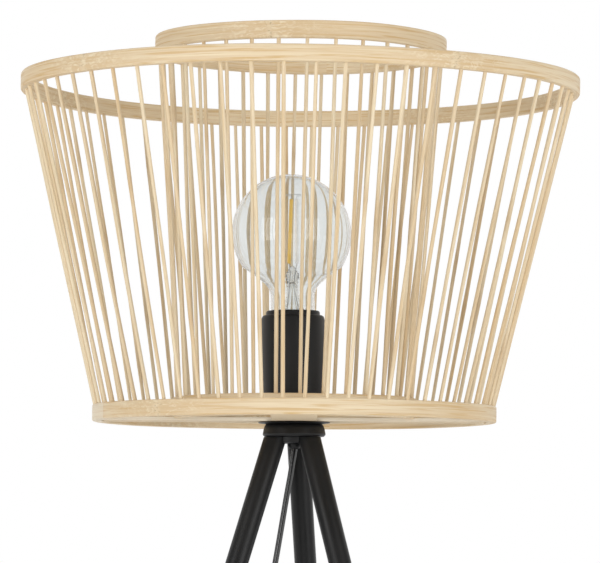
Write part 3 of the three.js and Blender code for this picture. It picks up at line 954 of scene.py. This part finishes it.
def buildRods(cage, nodes):
    settings = rodSet[cage]
    low, high = rodEnds(cage, 0)
    length = (high - low).length
    template = rodTemplate(settings["radius"], length)
    rods = []
    for k in range(settings["count"]):
        low, high = rodEnds(cage, k)
        rod = addObject("rod", template.data.copy())
        turn = Vector((0, 0, 1)).rotation_difference((high - low).normalized()).to_matrix().to_4x4()
        spin = Matrix.Rotation(random.uniform(0, 2 * math.pi), 4, "Z")
        bow = Vector((random.uniform(-1, 1), random.uniform(-1, 1), 0)) * handmade["bow"]
        thick = random.uniform(*handmade["thickness"])
        knotRing = random.randint(2, rodCuts * 2)
        slide = random.uniform(0.12, 0.88) * length / rodCuts
        tone = random.uniform(*handmade["tone"])
        tones = rod.data.attributes["tone"].data
        knots = rod.data.attributes["knot"].data
        for i, vertex in enumerate(rod.data.vertices):
            share = vertex.co.z / length
            ring = round(share * rodCuts)
            size = thick * (1.0 + 0.05 * math.sin(9 * share + k))
            knots[i].value = 0.0
            if ring == knotRing and 1 < ring < rodCuts - 1:
                size *= handmade["knotSwell"]
                vertex.co.z += slide - length / rodCuts / 2
                knots[i].value = 1.0
            vertex.co.x *= size
            vertex.co.y *= size
            tones[i].value = tone
            vertex.co += bow * math.sin(math.pi * share) * (0.6 + 0.4 * math.sin(5 * share))
        rod.data.transform(spin)
        rod.data.transform(Matrix.Translation(low) @ turn)
        for corner in rod.data.uv_layers["grain"].data:
            corner.uv.x += k * handmade["cane"][0]
            corner.uv.y += k * handmade["cane"][1]
        rods.append(rod)
    bpy.data.objects.remove(template)
    piece = joinPieces(cage + "Rods", rods)
    settleShade(piece, handmade["lean"] if cage == "outer" else handmade["innerLean"])
    return finishPiece(piece, "stand", rodBamboo, "bamboo", *nodes)


def buildCrossbars():
    # the bars keep the shape of their solids, with eased edges and their flat faces in another finish
    for name, node in (("crossbarLower", "crossbar_lower"), ("crossbarUpper", "crossbar_upper")):
        piece = addObject(name, cadNodes[node].data.copy())
        editAll(piece)
        bpy.ops.mesh.remove_doubles(threshold=1e-6)
        bpy.ops.mesh.dissolve_limited(angle_limit=math.radians(1))
        endEdit()
        easeEdges(piece, 0.4 * mm, 2, 50)
        smoothPiece(piece, 30)
        for vertex in piece.data.vertices:
            if vertex.co.z > baseZ + 2.5 * mm:
                vertex.co.z -= barSet["thinner"]
        settleShade(piece, handmade["lean"])
        finishPiece(piece, "stand", plywood, "crossbar_wood", node)
        piece.data.materials.append(barFace)    # for the broad, level faces
        for face in piece.data.polygons:
            face.material_index = 1 if abs(face.normal.z) > 0.7 else 0


for hoopLabel in hoopSet:
    buildHoop(hoopLabel)
buildRods("outer", [f"outer_rods_{k}" for k in range(1, 11)])
buildRods("inner", [f"inner_rods_{k}" for k in range(1, 9)])
buildCrossbars()
print("shade built")

holderSet = {"lean": 0.0105, "bulbLean": 0.017, "rim": 84 * mm}


def settleHolder(piece):
    # the lampholder stands slightly off plumb and the bulb follows it
    for vertex in piece.data.vertices:
        height = vertex.co.z - baseZ
        above = max(height - holderSet["rim"], 0)
        vertex.co -= viewRight * (holderSet["lean"] * (height - above) + holderSet["bulbLean"] * above)


def lifted(profile):
    return [(radius * mm, baseZ + height * mm) for radius, height in profile]


def threadWave(radius, depth, start, height, steps):
    # the section of a rolled thread: out, middle, in, middle
    return [(radius + depth * math.sin(math.pi * k / 2), start + height * k / steps) for k in range(steps)]


lampAxis = (0, axisY)


def buildFlange():
    flange = turnedPiece("shadeFlange", lifted([
        (5.2, -1.5), (24, -1.4), (28.4, -0.75), (28.9, -0.45), (28.6, -0.15), (5.2, 0)]), 96, lampAxis)
    finishPiece(flange, "stand", blackPaint, "black_steel", "shade_flange")


def buildHolder():
    sleeve = turnedPiece("lampholderSleeve", lifted([
        (25.4, 7.2), (25.5, 40), (25.4, 82.4), (25.1, 83.8), (24.5, 85.0), (23.4, 85.7), (22.2, 85.7),
        (22.2, 84), (23.6, 82), (23.6, 13.3), (5.2, 13.3), (5.2, 11.7), (23.6, 11.7), (23.6, 7.2)
    ]), 96, lampAxis)
    settleHolder(sleeve)
    finishPiece(sleeve, "stand", blackMoulded, "black_plastic", "lampholder_sleeve")
    body = turnedPiece("lampholderBody", lifted([
        (5.2, 13.6), (21.65, 13.6), (21.65, 87.9), (21.35, 88.8), (20.7, 89.3), (20.1, 89.3), (19.7, 88.9),
        (19.6, 87.5), (14.9, 83.6), (14.9, 57), (4, 57), (4, 51), (17, 51), (17, 17.6), (5.2, 17.6)
    ]), 96, lampAxis)
    settleHolder(body)
    finishPiece(body, "stand", blackMoulded, "black_plastic", "lampholder_body")
    profile = [(14.5, 57.4), (13.7, 57.4)] + threadWave(13.75, 0.3, 58.5, 24, 28)
    profile += [(13.7, 83.2), (14.5, 83.2)]
    shell = turnedPiece("screwShell", lifted(profile), 72, lampAxis)
    settleHolder(shell)
    finishPiece(shell, "stand", plainBrass, "brass", "screw_shell")


def buildHead():
    bell = turnedPiece("legHead", lifted([
        (5.2, -1.7), (22.5, -1.7), (23.0, -2.1), (23.8, -3.4), (24.4, -5.2), (24.8, -7.2), (25.0, -8.6),
        (25.2, -9.2), (25.2, -9.9), (24.9, -10.5), (24.4, -11.1), (23.8, -11.6), (5.2, -11.6)
    ]), 128, lampAxis)
    finishPiece(bell, "stand", blackPaint, "black_steel", "leg_head")
    outlet = turnedPiece("cordOutlet", lifted([
        (3.1, -21), (4.2, -21), (4.6, -20.6), (5.4, -19.2), (5.5, -18.6), (5.5, -17.2), (3.1, -17.2)
    ]), 48, lampAxis)
    finishPiece(outlet, "stand", blackMoulded, "black_plastic", "cord_outlet")
    core = turnedPiece("hubCore", lifted([
        (5.2, -16.9), (13.6, -16.9), (14.7, -16.3), (15, -15), (15, -11.9), (5.2, -11.9)]), 96, lampAxis)
    for leg in legSet["turns"]:
        low = legPoint(leg, baseZ - 50 * mm)
        cutAway(core, tubeBetween("legSocket", legPoint(leg, baseZ), low, legSet["socket"], 48))
    easeEdges(core, 0.3 * mm, 2, 40)
    smoothPiece(core, 40)
    finishPiece(core, "stand", blackPaint, "black_steel", "hub_core")


legSet = {
    "slope": 0.3216, "circle": 16.5 * mm, "circleHeight": -14 * mm, "radius": 8.9 * mm,
    "turns": {"back": 180, "left": 300, "right": 60},   # degrees from the front, towards the right
    "socket": 9.15 * mm, "headGap": 11.9 * mm, "spare": 9 * mm, "bottom": 5 * mm,
    "groove": 0.7 * mm, "jointGap": 0.15 * mm,
}
footSet = {"above": 20 * mm, "length": 36 * mm, "radius": 10.4 * mm, "lip": 1.3 * mm, "hollow": 3 * mm}


def legPoint(leg, height):
    turn = math.radians(legSet["turns"][leg])
    reach = legSet["circle"] + (baseZ + legSet["circleHeight"] - height) * legSet["slope"]
    return Vector((reach * math.sin(turn), axisY - reach * math.cos(turn), height))


def finishLeg(half, node):
    # the eased ends of the two halves make the groove between them
    easeEdges(half, legSet["groove"], 3, 40)
    smoothPiece(half, 30)
    finishPiece(half, "stand", blackPaint, "black_steel", node)


def buildLegs():
    # each upper half starts a little too long and is cut level under the head
    joint = baseZ / 2
    top = baseZ - legSet["headGap"]
    gap = legSet["jointGap"]
    for leg in legSet["turns"]:
        upper = tubeBetween("upperLeg_" + leg, legPoint(leg, top + legSet["spare"]),
                            legPoint(leg, joint + gap), legSet["radius"], 56)
        editAll(upper)
        bpy.ops.mesh.bisect(plane_co=(0, 0, top), plane_no=(0, 0, 1), clear_outer=True, use_fill=True)
        endEdit()
        finishLeg(upper, "upper_leg_" + leg)
        lower = tubeBetween("lowerLeg_" + leg, legPoint(leg, joint - gap), legPoint(leg, legSet["bottom"]),
                            legSet["radius"], 56)
        finishLeg(lower, "lower_leg_" + leg)
        buildFoot(leg)


def buildFoot(leg):
    # a cap round the end of the leg, cut level with the floor
    axis = (legPoint(leg, 0) - legPoint(leg, 1)).normalized()
    top = legPoint(leg, 0) - axis * footSet["above"]
    cap = tubeBetween("footCap_" + leg, top, top + axis * footSet["length"], footSet["radius"], 56)
    selectWhere(cap, lambda face: face.normal.dot(axis) < -0.95)
    bpy.ops.mesh.inset(thickness=footSet["lip"], depth=0)
    bpy.ops.mesh.extrude_region_move(TRANSFORM_OT_translate={"value": tuple(axis * footSet["hollow"])})
    bpy.ops.mesh.select_all(action="SELECT")
    bpy.ops.mesh.bisect(plane_co=(0, 0, 0), plane_no=(0, 0, 1), clear_inner=True, use_fill=True)
    endEdit()
    easeEdges(cap, 0.6 * mm, 3, 40)
    smoothPiece(cap, 35)
    finishPiece(cap, "stand", rubberFoot, "rubber", "foot_cap_" + leg)


buildFlange()
buildHolder()
buildHead()
buildLegs()
print("head and legs built")

# in mm, with heights from the shade's base up, and the angles where the globe begins and ends
bulbSet = {"radius": 48.1, "centre": 151.6, "wall": 1.6, "steps": 26, "shoulder": 0.98, "crown": 0.0005}


def globeSide(inset):
    radius = bulbSet["radius"] - inset
    points = [(13.0, 84.3), (15.2, 85.6), (17.0, 88), (17.7, 91), (17.8, 95), (17.6, 99.5), (17.9, 103.5),
              (19.3, 107.6), (22.3, 111.6), (26.8, 115.4), (32.4, 119.6)]
    side = [(r - inset, z) for r, z in points]
    span = math.pi - bulbSet["shoulder"] - bulbSet["crown"]
    for k in range(bulbSet["steps"] + 1):
        angle = bulbSet["shoulder"] + span * k / bulbSet["steps"]
        side.append((radius * math.sin(angle), bulbSet["centre"] - radius * math.cos(angle)))
    return side


def buildBulb():
    outer, inner = globeSide(0), globeSide(bulbSet["wall"])
    globe = turnedPiece("bulbGlobe", lifted(outer + inner[::-1]), 96, lampAxis)
    settleHolder(globe)
    smoothPiece(globe, 60)
    finishPiece(globe, "bulb", bulbGlass, "bulb_glass", "bulb_globe")
    buildCap()
    buildStem()
    buildFilament()


def buildCap():
    # a threaded shell, with a dark ring of insulation and the contact below it
    profile = [(11.9, 65.6), (12.4, 66.2)] + threadWave(12.75, 0.42, 67.2, 15.5, 24)
    profile += [(13.05, 83.0), (13.1, 84.0), (12.0, 84.0), (11.4, 83.2), (11.2, 66.0)]
    shell = turnedPiece("bulbCap", lifted(profile), 72, lampAxis)
    ring = turnedPiece("bulbInsulator", lifted([
        (11.6, 66.3), (11.4, 65.3), (9.2, 64.3), (5.2, 62.9), (4.7, 62.6), (3.0, 63.4), (3.0, 66.3)
    ]), 56, lampAxis)
    tip = turnedPiece("bulbTip", lifted([
        (4.6, 62.8), (4.5, 61.9), (3.9, 61.0), (2.6, 60.5), (0.05, 60.45)]), 40, lampAxis, closedRing=False)
    ring.data.materials.append(insulator)
    shell.data.materials.append(platedSteel)
    tip.data.materials.append(platedSteel)
    cap = joinPieces("bulbCap", [shell, ring, tip])
    settleHolder(cap)
    smoothPiece(cap, 40)
    placePiece(cap, "bulb", "plated_steel", "bulb_cap")


# where the glass is pressed: from and to these heights, fading over these lengths, in mm
pressSet = {"low": 112, "lowFade": 3, "high": 127, "highFade": 4, "crinkle": 0.09, "flatten": 0.4}


def buildStem():
    # a flared tube, pressed flat round the wires at its top, where the glass is crinkled
    profile = [(0.05, 112.5), (2.6, 112), (3.3, 108), (4.2, 101), (5.6, 95), (8.0, 90.5), (10.0, 87.5),
               (10.1, 86), (11.0, 86), (10.9, 87.6), (9.0, 91.3), (6.6, 95.8), (5.2, 101.5), (4.5, 108),
               (4.4, 113), (4.9, 116), (5.2, 119), (4.4, 121.5), (3.0, 123.5), (2.5, 125.5), (1.6, 126.8),
               (0.05, 127)]
    press = pressSet
    stem = turnedPiece("bulbStem", lifted(profile), 40, lampAxis, closedRing=False)
    applyModifier(stem, "SUBSURF", levels=1, render_levels=1)
    for vertex in stem.data.vertices:
        place = vertex.co - Vector((0, axisY, baseZ))
        height = place.z / mm
        share = min(max((height - press["low"]) / press["lowFade"], 0),
                    max((press["high"] - height) / press["highFade"], 0), 1.0)
        turn = math.atan2(place.y, place.x)
        crinkle = math.sin(5 * turn + 1.9 * height) + math.sin(3 * turn - 2.6 * height)
        side, depth = place.dot(viewRight), place.dot(viewBack)
        grow = press["crinkle"] * share * crinkle
        vertex.co += viewRight * side * grow + viewBack * depth * (grow - press["flatten"] * share)
    settleHolder(stem)
    finishPiece(stem, "bulb", stemGlass, "bulb_glass", "bulb_stem")


def axisPoint(side, depth, height):
    # millimetres to the camera's right, away from it, and above the shade's base
    return Vector((0, axisY, baseZ + height * mm)) + (viewRight * side - viewBack * depth) * mm


def wireAlong(name, points, radius):
    curve = bpy.data.curves.new(name, "CURVE")
    curve.dimensions = "3D"
    curve.bevel_depth = radius
    curve.bevel_resolution = 2
    curve.use_fill_caps = True
    spline = curve.splines.new("BEZIER")
    spline.bezier_points.add(len(points) - 1)
    for bezier, point in zip(spline.bezier_points, points):
        bezier.co = axisPoint(*point)
        bezier.handle_left_type = bezier.handle_right_type = "AUTO"
    wire = addObject(name, curve)
    makeActive(wire)
    bpy.ops.object.convert(target="MESH")
    editAll(wire)
    bpy.ops.mesh.remove_doubles(threshold=1e-6)
    bpy.ops.mesh.normals_make_consistent(inside=False)
    endEdit()
    wire.data.materials.clear()
    wire.data.materials.append(platedSteel)
    return wire


filamentSet = {
    "strips": [((-2.5, 0.5, 128.6), (0.2, 0.5, 179.8)), ((4.0, 1.5, 128.6), (4.7, 1.5, 179.8))],
    "hook": [(0.2, 0.5, 179.8), (0.2, 0.5, 182), (-3.6, 0.5, 183), (-1, 0.5, 183.6),
             (4, 1.5, 183.5), (7.8, 1.5, 183), (4.8, 1.5, 182), (4.7, 1.5, 179.8)],
    "leadLeft": [(-1.6, 0, 119), (-2.4, 0, 108), (-4, 0, 97), (-5, 0, 87)],
    "leadRight": [(1.8, 0, 119), (1.2, 0, 108), (3.4, 0, 97), (4.5, 0, 87)],
    "stripRadius": 1.4 * mm, "footRadius": 0.25 * mm, "hookRadius": 0.22 * mm, "leadRadius": 0.3 * mm,
}


def buildFilament():
    # two upright strips, joined by a hook at the top, on wires that come out of the stem
    parts = []
    for (low, high), finish in zip(filamentSet["strips"], (phosphor, ceramic)):
        strip = tubeBetween("filamentStrip", axisPoint(*low), axisPoint(*high),
                            filamentSet["stripRadius"], 20)
        easeEdges(strip, 0.5 * mm, 3)
        strip.data.materials.append(finish)
        foot = [low, (low[0] * 0.7, 0.3, 124), (low[0] * 0.5, 0, 119)]
        parts += [strip, wireAlong("stripFoot", foot, filamentSet["footRadius"])]
    parts.append(wireAlong("topWire", filamentSet["hook"], filamentSet["hookRadius"]))
    parts.append(wireAlong("leadLeft", filamentSet["leadLeft"], filamentSet["leadRadius"]))
    parts.append(wireAlong("leadRight", filamentSet["leadRight"], filamentSet["leadRadius"]))
    filament = joinPieces("bulbFilament", parts)
    settleHolder(filament)
    smoothPiece(filament, 50)
    placePiece(filament, "bulb", "filament", "bulb_filament")


buildBulb()
print("bulb built")

# the fasteners inside keep the shape of their solids
plainFinishes = {
    "threaded_nipple": platedSteel, "clamp_washer": platedSteel, "clamp_nut": platedSteel,
    "centre_contact": plainBrass, "leg_insert_back": platedSteel, "leg_insert_left": platedSteel,
    "leg_insert_right": platedSteel,
}
for nodeName, material in plainFinishes.items():
    cadNodes[nodeName].data.materials.clear()
    cadNodes[nodeName].data.materials.append(material)

studio = {
    "floorColor": (0.86, 0.86, 0.86), "floorSize": 40, "floorDrop": 0.4 * mm,
    "floorGlow": (0.24, 0.60), "glowReach": (1.2, 5.0),
    "surround": 0.345, "backdrop": 1.0, "backdropEdge": 4.0,
    "ceilingFrom": 0.35, "ceilingDark": 0.9, "ceilingEdge": 3.0,
    "aimHeight": 0.12, "boxSize": (1.25, 1.8), "boxDistance": 2.5, "boxRise": 0.1,
    "boxAngles": {-1: -46, 1: 41}, "boxPower": 24,
    "topSize": (1.8, 1.8), "topPlace": (0, -0.4, 2.2), "topPower": 12,
    "backSize": (2.2, 1.8), "backRise": 0.3, "backPower": 16,
}


def addLight(name, place, target, size, power):
    data = bpy.data.lights.new(name, "AREA")
    data.shape = "RECTANGLE"
    data.size, data.size_y = size
    data.energy = power
    light = addObject(name, data)
    light.location = place
    light.rotation_euler = (target - place).to_track_quat("-Z", "Y").to_euler()
    light.visible_camera = light.visible_transmission = False
    return light


def buildFloor():
    deselectAll()
    bpy.ops.mesh.primitive_plane_add(size=studio["floorSize"], location=(0, 0, -studio["floorDrop"]))
    floor = settlePiece("studioFloor")
    paper, shader = newMaterial("floorPaper", studio["floorColor"], 0.9)
    shader.inputs["Emission Color"].default_value = (1, 1, 1, 1)
    # the floor glows more where the boxes no longer reach, so that it stays pale all the way out
    distance = addNode(paper, "ShaderNodeVectorMath", operation="LENGTH")
    link(paper, objectCoords(paper), distance.inputs[0])
    glow = rangeOf(paper, distance.outputs["Value"], *studio["glowReach"], *studio["floorGlow"])
    link(paper, glow, shader.inputs["Emission Strength"])
    floor.data.materials.append(paper)


def buildLights():
    target = Vector((0, axisY, baseZ + studio["aimHeight"]))
    reach = studio["boxDistance"]
    for side in (-1, 1):
        angle = viewAngle + math.radians(studio["boxAngles"][side])
        place = target + Vector((math.sin(angle), -math.cos(angle), studio["boxRise"])) * reach
        addLight(f"softBox{side}", place, target, studio["boxSize"], studio["boxPower"])
    # the top box and a broad fill behind the lamp show in no reflection
    above = target + Vector(studio["topPlace"])
    topBox = addLight("topBox", above, target, studio["topSize"], studio["topPower"])
    behind = target - viewBack * reach + Vector((0, 0, studio["backRise"]))
    backBox = addLight("backBox", behind, target, studio["backSize"], studio["backPower"])
    topBox.visible_glossy = backBox.visible_glossy = False


def buildRoom():
    # the white backdrop is behind the lamp and the rest of the room is dimmer
    world = bpy.data.worlds.new("studioWorld")
    bpy.context.scene.world = world
    world.use_nodes = True
    world.node_tree.nodes.clear()

    def step(operation, first, second):
        return mathOf(world, operation, first, second)

    def limited(value, most):
        return step("MINIMUM", step("MAXIMUM", value, 0.0), most)

    rays = addNode(world, "ShaderNodeLightPath").outputs
    normal = addNode(world, "ShaderNodeNewGeometry").outputs["Normal"]
    facing = addNode(world, "ShaderNodeVectorMath", operation="DOT_PRODUCT")
    link(world, normal, facing.inputs[0])
    facing.inputs[1].default_value = viewBack
    behind = limited(step("MULTIPLY", facing.outputs["Value"], studio["backdropEdge"]), 1.0)
    # the ceiling is dark, which draws the crown of the bulb
    split = addNode(world, "ShaderNodeSeparateXYZ")
    link(world, normal, split.inputs["Vector"])
    rise = step("MULTIPLY", split.outputs["Z"], -1.0)
    steep = step("MULTIPLY", step("SUBTRACT", rise, studio["ceilingFrom"]), studio["ceilingEdge"])
    behind = step("MULTIPLY", behind, step("SUBTRACT", 1.0, limited(steep, studio["ceilingDark"])))
    sharp = step("MAXIMUM", rays["Is Transmission Ray"], rays["Is Glossy Ray"])
    bright = step("MAXIMUM", rays["Is Camera Ray"], step("MULTIPLY", sharp, behind))
    extra = step("MULTIPLY", bright, studio["backdrop"] - studio["surround"])
    strength = step("ADD", studio["surround"], extra)
    back = addNode(world, "ShaderNodeBackground")
    back.inputs["Color"].default_value = (1, 1, 1, 1)
    link(world, strength, back.inputs["Strength"])
    link(world, back.outputs["Background"], addNode(world, "ShaderNodeOutputWorld").inputs["Surface"])


buildFloor()
buildLights()
buildRoom()
bpy.context.scene.view_settings.view_transform = "Standard"
print("studio built")
